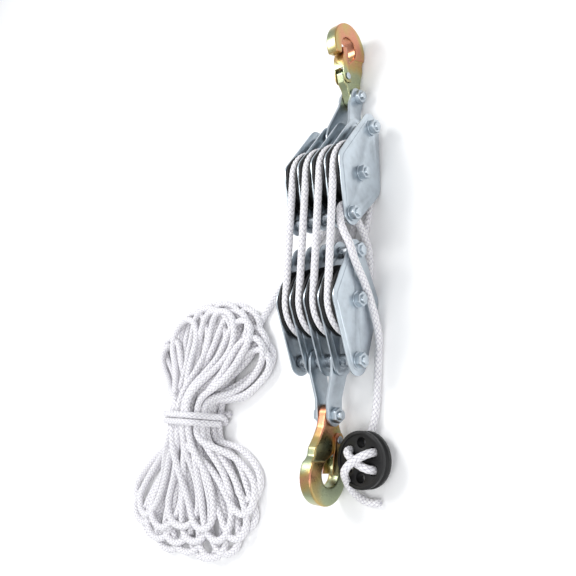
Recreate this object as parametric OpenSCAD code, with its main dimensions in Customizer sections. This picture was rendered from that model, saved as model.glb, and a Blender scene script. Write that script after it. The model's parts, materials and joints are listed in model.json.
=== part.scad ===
// Rope hoist: two four-sheave blocks reeved with one braided rope, lying on a flat surface.
// Millimetres. +X runs along the sheave axles, +Y along the tackle towards the upper hook, +Z up.
// The origin is the centre of the two blocks' outline, on the surface that they lie on.

/* [Rope] */
// Diameter of the braided rope
rope_d = 9.5; // [8:0.5:10]
// Free space between the rope and a sheave's groove
rope_clearance = 0.35; // [0.3:0.05:0.6]

/* [Sheaves] */
// Distance from one sheave to the next along the axle
bay_pitch = 21.5; // [21:0.5:26]
// Outer diameter of a sheave
sheave_d = 86; // [70:1:87]
// How far inside a sheave's rim the middle of the rope lies
rope_depth = 3.6; // [3:0.1:5]
// Space between a sheave's side and the plate beside it
sheave_side_gap = 0.5; // [0.3:0.1:1]
// Diameter of a sheave's bore
sheave_bore_d = 16.1; // [14.1:0.5:20.1]
// Thickness of a sheave's web
sheave_web = 7; // [4:1:10]

/* [Plates] */
// Thickness of a side plate or a partition plate
plate_t = 2; // [1.5:0.25:3]
// Width of a plate across the axle
plate_w = 88; // [86:1:100]
// Radius of a plate's corner beside the axle
plate_corner_r = 20; // [14:1:24]
// Distance from the axle to the bolt at the hook end
head_bolt_y = 70; // [66:1:84]
// Radius of a plate's hook end
head_end_r = 18; // [17:1:20]
// Distance from the axle to the bolt at the far end
tail_bolt_y = 58; // [58:1:70]
// Radius of a plate's far end
tail_end_r = 14; // [12:1:16]
// Height of the pressed panel above a plate's border
emboss_h = 0.8; // [0.4:0.1:1]
// Width of the flat border round the pressed panel
emboss_border = 6; // [4:0.5:8]

/* [Fasteners] */
// Diameter of every bolt
bolt_d = 10; // [8:1:12]
// Space between a bolt and its hole, on the radius
bolt_clearance = 0.1; // [0.05:0.05:0.1]
// Width of a nut or a bolt head across its flats
nut_af = 16; // [13:1:18]
// Height of a nut
nut_h = 7; // [6:0.5:9]
// Height of a bolt head
bolt_head_h = 6.4; // [5:0.2:8]
// Length of thread that shows past a nut
thread_out = 2.5; // [1:0.5:5]
// Thickness of a washer
washer_t = 1.5; // [1:0.25:2.5]
// Outer diameter of a washer
washer_d = 20; // [19:1:24]
// Outer diameter of the spacer tubes
spacer_d = 16; // [14:0.5:20]

/* [Straps] */
// Distance from the head bolt to the hook's pin
strap_reach = 63; // [58:1:76]
// Thickness of a strap
strap_t = 3.5; // [2.5:0.5:4]
// Radius of a strap's end at the head bolt
strap_head_r = 15; // [12:1:17]
// Radius of a strap's end at the hook's pin
strap_pin_r = 13; // [11:0.5:13]
// Distance from the middle of the block to a strap's middle at the head bolt
strap_head_x = 16.5; // [14:0.5:18]
// Length of hook pin's thread that shows past its nut
pin_thread_out = 4; // [1:0.5:6]

/* [Hooks] */
// Thickness of a hook's eye
hook_eye_t = 12.2; // [8:0.2:13]
// Thickness of a hook's body
hook_t = 16; // [12:1:20]
// Radius of a hook's eye
hook_eye_r = 12.5; // [11:0.5:13]
// Distance from the pin to the middle of a hook's bowl
bowl_reach = 66; // [58:1:80]
// Radius of the inside of a hook's bowl
bowl_r = 15.5; // [12:0.5:18]
// Radius of the outside of a hook
hook_out_r = 33; // [30:0.5:36]
// Diameter of a latch's rivet
rivet_d = 5; // [4:0.5:6]
// Thickness of a latch's sheet metal
latch_t = 1.5; // [1:0.25:2]

/* [Lie] */
// Distance between the two axles
axle_gap = 159; // [156:1:400]
// How far the upper block lies to the left of the lower one
side_shift = 3.7; // [0:0.1:5]
// Angle by which the upper block's hook end leans down
upper_lean = 13.5; // [8:0.5:13.5]
// Angle by which the lower block's hook end leans down
lower_lean = 6.5; // [0:0.5:10]

/* [Stopper] */
// Diameter of the stopper disc
disc_d = 64; // [56:1:66]
// Thickness of the stopper disc
disc_h = 16; // [12:1:18]
// Diameter of a hole in the stopper disc
disc_hole_d = 12; // [11:0.5:13]
// Radius of the circle of holes
disc_hole_ring_r = 19; // [17:0.5:21]

/* [Hank] */
// Height of the tied hank of rope
hank_h = 60; // [40:1:80]
// Width of the hank at its tie
hank_waist_w = 96; // [80:1:120]

/* [Hidden] */
$fn = 96;
ZINC = "#BFC9D4";
BLACK = "#17171A";
YELLOW_ZINC = "#B9A468";
ROPE = "#E8E6EE";

// Places across the block, from the left side plate to the right one.
PLATE_X = [for (i = [-2:2]) i * bay_pitch];
SHEAVE_X = [for (i = [-1.5:1.5]) i * bay_pitch];
bay_gap = bay_pitch - plate_t;
sheave_w = bay_gap - 2 * sheave_side_gap;
outer_face_x = 2 * bay_pitch + plate_t / 2 + emboss_h;
nut_face_x = outer_face_x + washer_t;
bolt_end_x = nut_face_x + nut_h + thread_out;
bolt_head_x = outer_face_x + bolt_head_h;
strap_pin_x = hook_eye_t / 2 + 0.4 + strap_t / 2;
pin_y = head_bolt_y + strap_reach;
rope_r = rope_d / 2;
rope_path_r = sheave_d / 2 - rope_depth;
groove_r = rope_r + rope_clearance;
// How far from a sheave's axle its rim still stands beside a straight rope.
groove_lead = sqrt(pow(sheave_d / 2, 2) - pow(rope_path_r - rope_r, 2)) + 1;
hole_r = bolt_d / 2 + bolt_clearance;
// The outside circle of a hook, from its pin: along the hook, and away from its opening.
OUT_Y = bowl_reach + 3;
OUT_Z = -4;
rivet_y = 28;
rivet_z = 13;

// A block lies with its widest corner and its hook on the surface.
block_z = max(sheave_d / 2, rope_path_r + rope_r, plate_w / 2) + 0.2;
function pin_z(lean) = block_z - pin_y * sin(lean);
// Angle of a hook above the level, with its outside circle touching the surface.
function hook_rise(lean, side) =
    asin((hook_out_r - pin_z(lean)) / norm([OUT_Y, OUT_Z])) - side * atan2(OUT_Z, OUT_Y);
upper_rise = hook_rise(upper_lean, 1);
lower_rise = hook_rise(lower_lean, -1);
function crown_y(lean, rise, side) =
    pin_y * cos(lean) + OUT_Y * cos(rise) - side * OUT_Z * sin(rise) + hook_out_r;
upper_crown = crown_y(upper_lean, upper_rise, 1);
lower_crown = crown_y(lower_lean, lower_rise, -1);
upper_y = (axle_gap + lower_crown - upper_crown) / 2;
lower_y = upper_y - axle_gap;
mid_x = -(bolt_end_x - bolt_head_x) / 2;
upper_x = mid_x - side_shift / 2;
lower_x = mid_x + side_shift / 2;

// The upper tail bolt, which the dead end of the rope is led over.
lead_y = upper_y - tail_bolt_y * cos(upper_lean);
lead_z = block_z + tail_bolt_y * sin(upper_lean);
lead_r = spacer_d / 2 - 1 + rope_r + 0.6;
function lead(x, a) = [x, lead_y + lead_r * cos(a), lead_z + lead_r * sin(a)];
bay_4 = lower_x + SHEAVE_X[3];

// Routes of the rope's ends, as points in order.
DEAD_END = [
    [bay_4, lower_y + 0.8, block_z - rope_path_r], [bay_4, lower_y + 35, 5], [bay_4, lead_y - 42, 6],
    [bay_4 - 0.5, lead_y - 26, 11], [bay_4 - 1, lead_y - 8, 26], [bay_4 - 1.5, lead_y + 6, 41],
    lead(bay_4 - 1.5, -30), lead(bay_4 - 1.5, 5), lead(bay_4 - 1, 40), lead(bay_4 - 0.5, 75),
    lead(bay_4 + 0.5, 100),
    [bay_4 + 4, lead_y - 15, 73.5], [bay_4 + 11.5, lower_y + 73, 75], [bay_4 + 17.5, lower_y + 59, 71],
    [bay_4 + 18.5, lower_y + 41, 60], [bay_4 + 18.6, lower_y + 22, 42], [bay_4 + 18.6, lower_y + 2, 27],
    [bay_4 + 18.6, lower_y - 19, 14.5], [bay_4 + 18.4, lower_y - 36, 7], [bay_4 + 18.2, lower_y - 49, 5]
];
STOPPER = [
    [50, -127, 5], [50, -145, 5], [50, -165, 5], [50, -185, 5], [49, -203, 5], [46, -219, 5], [40, -232, 5],
    [34, -240, 5.5], [30.5, -243.5, 6.5], [28.8, -246.1, 10], [28.5, -246.5, 14], [28.5, -246.5, 27]
];
HAUL = [
    [-36.4, 82, 5], [-36.4, 69, 5], [-36.4, 57, 5], [-38.5, 47, 5], [-43.5, 37, 5], [-52, 26, 5],
    [-64, 13, 5], [-78, -1, 5], [-95, -17, 5], [-112, -34, 5], [-128, -52, 5]
];
STOPPER_AT = [45, -256, 18.4];
STOPPER_TILT = [2, -2, 0];
HANK_TIE_Y = -225;
HANK_X = -250;

// ---- Shapes that repeat ----

// A tube of the rope's thickness along a route, one ring of eight points at each point.
module rope_tube(route, sides = 8) {
    n = len(route);
    function ahead(i) = route[min(i + 1, n - 1)] - route[max(i - 1, 0)];
    function unit(v) = v / norm(v);
    function across(i) = unit(cross(ahead(i), abs(unit(ahead(i))[2]) > 0.9 ? [1, 0, 0] : [0, 0, 1]));
    function ring(i) = [
        for (k = [0:sides - 1])
            let (a = 360 * k / sides, s = across(i), u = unit(cross(s, ahead(i))))
            route[i] + rope_r * (cos(a) * s + sin(a) * u)
    ];
    points = [for (i = [0:n - 1]) each ring(i)];
    walls = [
        for (i = [0:n - 2], k = [0:sides - 1])
            let (a = i * sides + k, b = i * sides + (k + 1) % sides)
            each [[a, b, b + sides], [a, b + sides, a + sides]]
    ];
    first = [for (k = [sides - 1:-1:0]) k];
    last = [for (k = [0:sides - 1]) (n - 1) * sides + k];
    polyhedron(points, concat([first], walls, [last]));
}

// A cylinder along X, from x0 to x1.
module along_x(x0, x1, r) translate([x0, 0, 0]) rotate([0, 90, 0]) cylinder(h = x1 - x0, r = r);

// A tube along X.
module tube_x(x0, x1, r, bore) {
    difference() {
        along_x(x0, x1, r);
        along_x(x0 - 1, x1 + 1, bore);
    }
}

// A hexagonal prism along X.
module hex_x(x0, x1, af) {
    translate([x0, 0, 0]) rotate([0, 90, 0]) rotate([0, 0, 30])
        cylinder(h = x1 - x0, r = af / 2 / cos(30), $fn = 6);
}

// Points where the two outer tangents touch circle A, for circles A and B in the plane.
function tangent(a, ra, b, rb, side) =
    let (d = b - a, t = atan2(d[1], d[0]), w = side * acos((ra - rb) / norm(d)))
    a + ra * [cos(t + w), sin(t + w)];

// Stands a shape drawn in the YZ plane upright, with its thickness along X.
module stand(x, thickness) {
    translate([x - thickness / 2, 0, 0]) rotate([90, 0, 90]) linear_extrude(thickness) children();
}

// A bar along the YZ plane with two round ends, at points a and b.
module link(x, thickness, a, ra, b, rb) {
    union() {
        translate([0, a[0], a[1]]) along_x(x - thickness / 2, x + thickness / 2, ra);
        translate([0, b[0], b[1]]) along_x(x - thickness / 2, x + thickness / 2, rb);
        stand(x, thickness) polygon([
            tangent(a, ra, b, rb, 1), tangent(b, rb, a, ra, -1), tangent(b, rb, a, ra, 1),
            tangent(a, ra, b, rb, -1)
        ]);
    }
}

// Direction in which the outer tangent from circle a to circle b, going anticlockwise, faces.
function facing(a, b) =
    let (d = [b[0] - a[0], b[1] - a[1]]) atan2(d[1], d[0]) - acos((a[2] - b[2]) / norm(d));

// A plate's outline: an arc at each end and beside the axle, each drawn as [x, y, radius].
function plate_outline(inset) =
    let (
        corner = plate_w / 2 - plate_corner_r,
        arcs = [
            [head_bolt_y, 0, head_end_r], [0, corner, plate_corner_r], [-tail_bolt_y, 0, tail_end_r],
            [0, -corner, plate_corner_r]
        ]
    )
    [
        for (i = [0:3])
            let (
                c = arcs[i], from = facing(arcs[(i + 3) % 4], c), to = facing(c, arcs[(i + 1) % 4]),
                turn = (to - from + 720) % 360, steps = ceil(turn / 7)
            )
            for (k = [0:steps])
                let (a = from + turn * k / steps)
                [c[0] + (c[2] - inset) * cos(a), c[1] + (c[2] - inset) * sin(a)]
    ];

// A plate's body: round ends on the cross bolts, and widest beside the axle.
module plate_body(x, thickness, inset = 0) stand(x, thickness) polygon(plate_outline(inset));

// Places what is drawn at the origin on each cross bolt and on the axle.
module at_bolts(places = [head_bolt_y, 0, -tail_bolt_y]) for (y = places) translate([0, y, 0]) children();

module at_upper() translate([upper_x, upper_y, block_z]) rotate([-upper_lean, 0, 0]) children();
module at_lower() translate([lower_x, lower_y, block_z]) rotate([180 + lower_lean, 0, 0]) children();
module at_upper_hook() at_upper() translate([0, pin_y, 0]) rotate([upper_rise + upper_lean, 0, 0]) children();
module at_lower_hook() at_lower() translate([0, pin_y, 0]) rotate([-lower_rise - lower_lean, 0, 0]) children();

// ---- Pieces of a block, about its axle ----

// A pressed plate: its panel stands proud on one side and is hollow on the other.
module plate(x, side) {
    color(ZINC) difference() {
        union() {
            plate_body(x, plate_t);
            plate_body(x + side * emboss_h / 2, plate_t + emboss_h, emboss_border);
        }
        plate_body(x - side * plate_t / 2, 2 * emboss_h, emboss_border + emboss_h);
        at_bolts() along_x(x - 9, x + 9, hole_r);
    }
}

// A flat partition with a shallow groove round its middle on both sides.
module partition(x) {
    color(ZINC) difference() {
        plate_body(x, plate_t);
        for (s = [-1, 1]) difference() {
            plate_body(x + s * plate_t / 2, 0.8, emboss_border);
            plate_body(x + s * plate_t / 2, 1, emboss_border + 3);
        }
        at_bolts() along_x(x - 9, x + 9, hole_r);
    }
}

// A hex-headed bolt along X: head on the left, thread on the right.
module bolt(head_face, end) {
    color(ZINC) union() {
        hex_x(-head_face - bolt_head_h, -head_face, nut_af);
        along_x(-head_face - 1, end, bolt_d / 2);
    }
}

module nut(face) {
    color(ZINC) difference() {
        hex_x(face, face + nut_h, nut_af);
        along_x(face - 1, face + nut_h + 1, bolt_d / 2);
    }
}

module block_nuts() {
    at_bolts() nut(nut_face_x);
    translate([0, pin_y, 0]) nut(strap_pin_x + strap_t / 2);
}

module block_washers() color(ZINC) at_bolts() tube_x(outer_face_x, nut_face_x, washer_d / 2, hole_r);

module axle_sleeves() {
    color(ZINC) for (x = SHEAVE_X) tube_x(x - bay_gap / 2, x + bay_gap / 2, sheave_bore_d / 2 - 0.05, hole_r);
}

// Tubes on the head bolt: whole ones in the outer bays, cut short for the straps in the inner ones.
module head_spacers() {
    inner = plate_t / 2;
    near = strap_head_x - strap_t / 2;
    far = strap_head_x + strap_t / 2;
    color(ZINC) translate([0, head_bolt_y, 0]) {
        for (x = [SHEAVE_X[0], SHEAVE_X[3]]) tube_x(x - bay_gap / 2, x + bay_gap / 2, spacer_d / 2, hole_r);
        for (s = [-1, 1]) {
            tube_x(min(s * inner, s * near), max(s * inner, s * near), spacer_d / 2, hole_r);
            tube_x(
                min(s * far, s * (bay_pitch - inner)), max(s * far, s * (bay_pitch - inner)),
                spacer_d / 2, hole_r
            );
        }
    }
}

// Tubes on the tail bolt, one in each bay.
module tail_spacers() {
    color(ZINC) translate([0, -tail_bolt_y, 0]) for (x = SHEAVE_X)
        tube_x(x - bay_gap / 2, x + bay_gap / 2, spacer_d / 2 - 1, hole_r);
}

// A strap that steps in from the head bolt to the hook's eye.
module strap(side) {
    step_from = head_bolt_y + strap_head_r - 3;
    step_to = pin_y - strap_pin_r - 6;
    start = head_bolt_y - strap_head_r;
    end = pin_y + strap_pin_r;
    half = strap_t / 2;
    color(ZINC) difference() {
        intersection() {
            translate([0, 0, -strap_head_r]) linear_extrude(2 * strap_head_r) polygon([
                for (p = [
                    [strap_head_x - half, start], [strap_head_x + half, start],
                    [strap_head_x + half, step_from], [strap_pin_x + half, step_to],
                    [strap_pin_x + half, end], [strap_pin_x - half, end],
                    [strap_pin_x - half, step_to], [strap_head_x - half, step_from]
                ]) [side * p[0], p[1]]
            ]);
            link(0, 60, [head_bolt_y, 0], strap_head_r, [pin_y, 0], strap_pin_r);
        }
        at_bolts([head_bolt_y, pin_y]) along_x(-30, 30, hole_r);
    }
}

module hook_pin() translate([0, pin_y, 0])
    bolt(strap_pin_x + strap_t / 2, strap_pin_x + strap_t / 2 + nut_h + pin_thread_out);

// A sheave with a round groove that flares at its rim, and a web thinner than its hub and rim.
module sheave(i) {
    rim_r = sheave_d / 2;
    lip = 2.6;
    web_in = 15;
    web_out = rope_path_r - groove_r - 4;
    color(BLACK) translate([SHEAVE_X[i], 0, 0]) rotate([0, 90, 0]) rotate_extrude() difference() {
        translate([sheave_bore_d / 2, -sheave_w / 2]) square([rim_r - sheave_bore_d / 2, sheave_w]);
        translate([rope_path_r, 0]) circle(r = groove_r);
        polygon([
            [rope_path_r, -groove_r], [rim_r + 1, -sheave_w / 2 + lip],
            [rim_r + 1, sheave_w / 2 - lip], [rope_path_r, groove_r]
        ]);
        for (s = [-1, 1]) translate([(web_in + web_out) / 2, s * (sheave_web / 2 + sheave_w / 4)])
            square([web_out - web_in, sheave_w / 2], center = true);
    }
}

// ---- A hook and its latch, about its pin, with the opening on the +Z side ----

module hook_2d() {
    difference() {
        union() {
            circle(r = hook_eye_r);
            translate([OUT_Y, OUT_Z]) circle(r = hook_out_r);
            polygon([
                [0, -hook_eye_r], [14, -hook_eye_r - 2], [26, -20], [38, -27.5], [OUT_Y - 12, -30],
                [OUT_Y, 20], [37, 17], [33, 20], [20, 19.5], [12, hook_eye_r + 2], [0, hook_eye_r]
            ]);
        }
        translate([bowl_reach, 0]) circle(r = bowl_r);
        // The throat, between the shank and the point.
        polygon([
            [37, 17.2], [bowl_reach - bowl_r, -4], [bowl_reach, bowl_r - 0.5], [bowl_reach - 7, 17],
            [bowl_reach - 6, 40], [33, 40]
        ]);
    }
}

module hook() {
    color(YELLOW_ZINC) difference() {
        union() {
            stand(0, hook_eye_t) hook_2d();
            intersection() {
                stand(0, hook_t) hook_2d();
                // Full thickness only in the bowl: the latch's cheeks pass beside the shank.
                translate([-20, bowl_reach - 13, -60]) cube([40, 120, 120]);
            }
        }
        along_x(-20, 20, bolt_d / 2 + 0.08);
        translate([0, rivet_y, rivet_z]) along_x(-20, 20, rivet_d / 2 + 0.05);
    }
}

// A folded sheet-metal latch: two cheeks on the rivet, and a web that closes the throat's outside.
module latch() {
    tip = bowl_reach + 1.5;
    top = [[40.5, 19], [54, 17], [59, 14], [tip, 13.5]];
    cheek_x = hook_eye_t / 2 + 0.4 + latch_t / 2;
    color(YELLOW_ZINC) difference() {
        union() {
            for (s = [-1, 1]) stand(s * cheek_x, latch_t) polygon(concat([
                [tip, 4], [46, 4.5], [38, 6], [rivet_y - 3, rivet_z - 8], [rivet_y - 8, rivet_z - 5],
                [rivet_y - 8, rivet_z + 4], [rivet_y - 4, rivet_z + 7.5], [rivet_y + 4, rivet_z + 7.5]
            ], top));
            stand(0, 2 * cheek_x + latch_t) polygon(concat(top, [
                for (i = [3:-1:0]) top[i] - [0, latch_t]
            ]));
        }
        translate([0, rivet_y, rivet_z]) along_x(-20, 20, rivet_d / 2 + 0.05);
    }
}

module latch_rivet() {
    face = hook_eye_t / 2 + 0.4 + latch_t + 0.35;
    color(ZINC) translate([0, rivet_y, rivet_z]) union() {
        along_x(-face - 1, face + 1, rivet_d / 2);
        for (s = [-1, 1]) translate([s * (face + 0.75), 0, 0]) along_x(-0.75, 0.75, rivet_d / 2 + 2);
    }
}

// The latch's spring: a plain tube round the rivet's line, standing for its coils.
module latch_spring() {
    color(ZINC) translate([0, rivet_y + 17, 13]) tube_x(-4.5, 4.5, 3, 1.8);
}

// ---- The rope on the blocks ----

// Half a turn of rope round each sheave, on the hook's side of the axle.
module rope_wraps(side) {
    color(ROPE) for (x = SHEAVE_X) translate([x, 0, 0]) rotate([0, 90, 0]) rotate([0, 0, side > 0 ? 0 : 180])
        rotate_extrude(angle = 180) translate([rope_path_r, 0]) circle(r = rope_r, $fn = 48);
}

// A straight run of rope between two points, a little short of both.
module fall(a, b, short = 0.8) {
    d = b - a;
    color(ROPE) translate(a + short * d / norm(d)) rotate([0, acos(d[2] / norm(d)), atan2(d[1], d[0])])
        cylinder(h = norm(d) - 2 * short, r = rope_r, $fn = 48);
}

// A run that changes bays: straight out of each groove, and slanted only between the two rims.
module crossing_fall(a, b, short = 0.8) {
    way = [0, sign(b[1] - a[1]), 0];
    color(ROPE) rope_tube([a + short * way, a + groove_lead * way, b - groove_lead * way, b - short * way]);
}

function at_top(i, side) = [upper_x + SHEAVE_X[i], upper_y, block_z + side * rope_path_r];
function at_foot(i, side) = [lower_x + SHEAVE_X[i], lower_y, block_z + side * rope_path_r];

// ---- Nodes of the two blocks ----

module upper_left_plate() at_upper() plate(PLATE_X[0], -1);
module upper_partition_1() at_upper() partition(PLATE_X[1]);
module upper_partition_2() at_upper() partition(PLATE_X[2]);
module upper_partition_3() at_upper() partition(PLATE_X[3]);
module upper_right_plate() at_upper() plate(PLATE_X[4], 1);
module upper_axle_bolt() at_upper() bolt(outer_face_x, bolt_end_x);
module upper_head_bolt() at_upper() at_bolts([head_bolt_y]) bolt(outer_face_x, bolt_end_x);
module upper_tail_bolt() at_upper() at_bolts([-tail_bolt_y]) bolt(outer_face_x, bolt_end_x);
module upper_nuts() at_upper() block_nuts();
module upper_washers() at_upper() block_washers();
module upper_axle_sleeves() at_upper() axle_sleeves();
module upper_head_spacers() at_upper() head_spacers();
module upper_tail_spacers() at_upper() tail_spacers();
module upper_left_strap() at_upper() strap(-1);
module upper_right_strap() at_upper() strap(1);
module upper_hook_pin() at_upper() hook_pin();
module upper_sheave(i) at_upper() sheave(i);
module upper_hook() at_upper_hook() hook();
module upper_latch() at_upper_hook() latch();
module upper_latch_rivet() at_upper_hook() latch_rivet();
module upper_latch_spring() at_upper_hook() latch_spring();
module upper_rope_wraps() translate([upper_x, upper_y, block_z]) rope_wraps(1);

module lower_left_plate() at_lower() plate(PLATE_X[0], -1);
module lower_partition_1() at_lower() partition(PLATE_X[1]);
module lower_partition_2() at_lower() partition(PLATE_X[2]);
module lower_partition_3() at_lower() partition(PLATE_X[3]);
module lower_right_plate() at_lower() plate(PLATE_X[4], 1);
module lower_axle_bolt() at_lower() bolt(outer_face_x, bolt_end_x);
module lower_head_bolt() at_lower() at_bolts([head_bolt_y]) bolt(outer_face_x, bolt_end_x);
module lower_tail_bolt() at_lower() at_bolts([-tail_bolt_y]) bolt(outer_face_x, bolt_end_x);
module lower_nuts() at_lower() block_nuts();
module lower_washers() at_lower() block_washers();
module lower_axle_sleeves() at_lower() axle_sleeves();
module lower_head_spacers() at_lower() head_spacers();
module lower_tail_spacers() at_lower() tail_spacers();
module lower_left_strap() at_lower() strap(-1);
module lower_right_strap() at_lower() strap(1);
module lower_hook_pin() at_lower() hook_pin();
module lower_sheave(i) at_lower() sheave(i);
module lower_hook() at_lower_hook() hook();
module lower_latch() at_lower_hook() latch();
module lower_latch_rivet() at_lower_hook() latch_rivet();
module lower_latch_spring() at_lower_hook() latch_spring();
module lower_rope_wraps() translate([lower_x, lower_y, block_z]) rope_wraps(-1);

// ---- Rope between the blocks, and the free rope ----

module front_falls() for (i = [0:3]) fall(at_foot(i, 1), at_top(i, 1));
module back_falls() for (i = [0:2]) crossing_fall(at_foot(i, -1), at_top(i + 1, -1));
module dead_end_fall() color(ROPE) rope_tube(DEAD_END);
module stopper_line() color(ROPE) rope_tube(STOPPER);
module haul_line() color(ROPE) rope_tube(HAUL);

// A thick disc with a rimmed face and a ring of holes that the rope is threaded through.
module stopper_disc() {
    color(BLACK) translate(STOPPER_AT) rotate(STOPPER_TILT) difference() {
        cylinder(h = disc_h, r = disc_d / 2, center = true);
        translate([0, 0, disc_h / 2 - 2]) cylinder(h = 5, r = disc_d / 2 - 4);
        rotate_extrude() translate([disc_d / 2 + 1, 0]) circle(r = 3.5);
        for (a = [30:60:330]) rotate([0, 0, a]) translate([disc_hole_ring_r, 0, -disc_h])
            cylinder(h = 2 * disc_h, r = disc_hole_d / 2);
    }
}

// The hank's outer shape: two fanned ends and a waist.
module stadium(at, width, length) {
    translate(at) {
        square([width - length, length], center = true);
        for (s = [-1, 1]) translate([s * (width - length) / 2, 0]) circle(r = length / 2);
    }
}

module hank() {
    color(ROPE) linear_extrude(hank_h) {
        stadium([HANK_X + 9, HANK_TIE_Y + 103], 280, 150);
        stadium([HANK_X - 12, HANK_TIE_Y - 120], 322, 152);
        translate([HANK_X, HANK_TIE_Y]) square([hank_waist_w, 160], center = true);
    }
}

// The turns of rope that tie the hank's waist, as a flat band round it.
module hank_tie() {
    wall = 10;
    color(ROPE) translate([HANK_X, HANK_TIE_Y, 0]) difference() {
        translate([0, 0, hank_h / 2 + wall / 2]) cube([hank_waist_w + 2 * wall, 30, hank_h + wall], center = true);
        translate([0, 0, hank_h / 2 - 1]) cube([hank_waist_w + 0.2, 32, hank_h + 2.2], center = true);
    }
}

upper_left_plate();
upper_partition_1();
upper_partition_2();
upper_partition_3();
upper_right_plate();
upper_axle_bolt();
upper_head_bolt();
upper_tail_bolt();
upper_nuts();
upper_washers();
upper_axle_sleeves();
upper_head_spacers();
upper_tail_spacers();
upper_left_strap();
upper_right_strap();
upper_hook_pin();
upper_sheave(0);  // upper_sheave_1
upper_sheave(1);  // upper_sheave_2
upper_sheave(2);  // upper_sheave_3
upper_sheave(3);  // upper_sheave_4
upper_hook();
upper_latch();
upper_latch_rivet();
upper_latch_spring();
upper_rope_wraps();
lower_left_plate();
lower_partition_1();
lower_partition_2();
lower_partition_3();
lower_right_plate();
lower_axle_bolt();
lower_head_bolt();
lower_tail_bolt();
lower_nuts();
lower_washers();
lower_axle_sleeves();
lower_head_spacers();
lower_tail_spacers();
lower_left_strap();
lower_right_strap();
lower_hook_pin();
lower_sheave(0);  // lower_sheave_1
lower_sheave(1);  // lower_sheave_2
lower_sheave(2);  // lower_sheave_3
lower_sheave(3);  // lower_sheave_4
lower_hook();
lower_latch();
lower_latch_rivet();
lower_latch_spring();
lower_rope_wraps();
front_falls();
back_falls();
dead_end_fall();
stopper_line();
stopper_disc();
haul_line();
hank();
hank_tie();
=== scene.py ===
"""Looks of a rope hoist: two four-sheave blocks, their hooks, and one braided rope."""

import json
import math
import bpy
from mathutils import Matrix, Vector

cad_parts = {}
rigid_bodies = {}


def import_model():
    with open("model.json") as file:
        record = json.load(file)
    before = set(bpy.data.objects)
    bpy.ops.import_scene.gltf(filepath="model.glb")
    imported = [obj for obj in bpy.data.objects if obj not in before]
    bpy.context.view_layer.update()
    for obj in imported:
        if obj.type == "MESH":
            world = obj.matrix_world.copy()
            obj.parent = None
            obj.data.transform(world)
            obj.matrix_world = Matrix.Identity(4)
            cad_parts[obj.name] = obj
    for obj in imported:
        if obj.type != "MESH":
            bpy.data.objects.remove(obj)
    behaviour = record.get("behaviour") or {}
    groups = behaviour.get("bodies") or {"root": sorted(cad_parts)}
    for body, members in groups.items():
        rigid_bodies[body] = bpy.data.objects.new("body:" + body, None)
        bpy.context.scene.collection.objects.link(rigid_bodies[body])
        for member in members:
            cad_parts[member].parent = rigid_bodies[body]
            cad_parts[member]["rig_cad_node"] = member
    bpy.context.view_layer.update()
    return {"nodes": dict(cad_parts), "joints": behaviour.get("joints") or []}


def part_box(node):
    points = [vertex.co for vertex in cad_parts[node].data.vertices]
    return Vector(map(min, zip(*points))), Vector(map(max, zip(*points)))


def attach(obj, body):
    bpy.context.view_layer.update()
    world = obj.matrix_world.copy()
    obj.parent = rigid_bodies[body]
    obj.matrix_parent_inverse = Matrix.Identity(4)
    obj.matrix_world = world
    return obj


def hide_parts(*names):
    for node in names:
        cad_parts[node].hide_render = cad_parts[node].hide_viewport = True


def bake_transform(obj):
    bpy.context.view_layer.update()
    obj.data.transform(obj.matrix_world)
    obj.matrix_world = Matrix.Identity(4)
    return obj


bl_info = {
    "name": "Rope Hoist",
    "version": (1, 0, 0),
    "blender": (4, 5, 0),
    "location": "3D View > Sidebar > Hoist",
    "description": "Builds the looks of a two-block rope hoist around its mechanical model",
    "category": "Add Mesh",
}

import bpy
import numpy as np
from mathutils import Matrix, Vector

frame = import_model()
MM = 0.001


# ---- The hoist's own places, in metres ----


def joint(name):
    return next(j for j in frame["joints"] if j["name"] == name)


def axle(block):
    """The x of each of a block's sheaves, and the y and z of their axle."""
    spots = [joint(f"{block}_sheave_{i}_turn")["pos_m"] for i in (1, 2, 3, 4)]
    return [s[0] for s in spots], spots[0][1], spots[0][2]


UPPER_X, UPPER_Y, AXLE_Z = axle("upper")
LOWER_X, LOWER_Y, _ = axle("lower")
# Half the rope's thickness, and the distance of its middle from an axle that it goes round.
ROPE_R = 0.00475
WRAP_R = 0.0394
# How far from an axle a back run leaves the two rims beside it, and may change bays.
RIM_REACH = 0.0265
# Distances between the points of a rope's line: in the reeving, the knot, the hank and its tie.
BRAID_STEP = 0.0009
KNOT_STEP = 0.0011
HANK_STEP = 0.0034
TIE_STEP = 0.0022
# Length over which a rope's cut end rounds off.
CUT_END = 0.003

# Radii of eased edges: on sheaves and latches, bolts and rivets, nuts, washers and tubes, and the disc.
MOULD_EDGE = 0.0005
BOLT_EDGE = 0.0006
NUT_EDGE = 0.0007
TUBE_EDGE = 0.0003
DISC_EDGE = 0.0009

# Routes of the free rope, in millimetres.
STOPPER = [
    (50, -127, 5), (50, -145, 5), (50, -165, 5), (50, -185, 5), (49, -203, 5), (46, -219, 5), (40, -232, 5),
    (34, -240, 5.5), (30.5, -243.5, 6.5), (28.8, -246.1, 10), (28.5, -246.5, 14), (28.5, -246.5, 27),
]
HAUL = [
    (-36.4, 82, 5), (-36.4, 69, 5), (-36.4, 57, 5), (-38.5, 47, 5), (-43.5, 37, 5), (-52, 26, 5),
    (-64, 13, 5), (-78, -1, 5), (-95, -17, 5), (-112, -34, 5), (-128, -52, 5),
]
# Where the hank's tie is, and the haul line's way to it, in millimetres.
HANK_X, HANK_Y = -250, -225
HAUL_TO_TIE = [(-150, -84), (-176, -128), (-212, -178), (-244, -208)]

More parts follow.
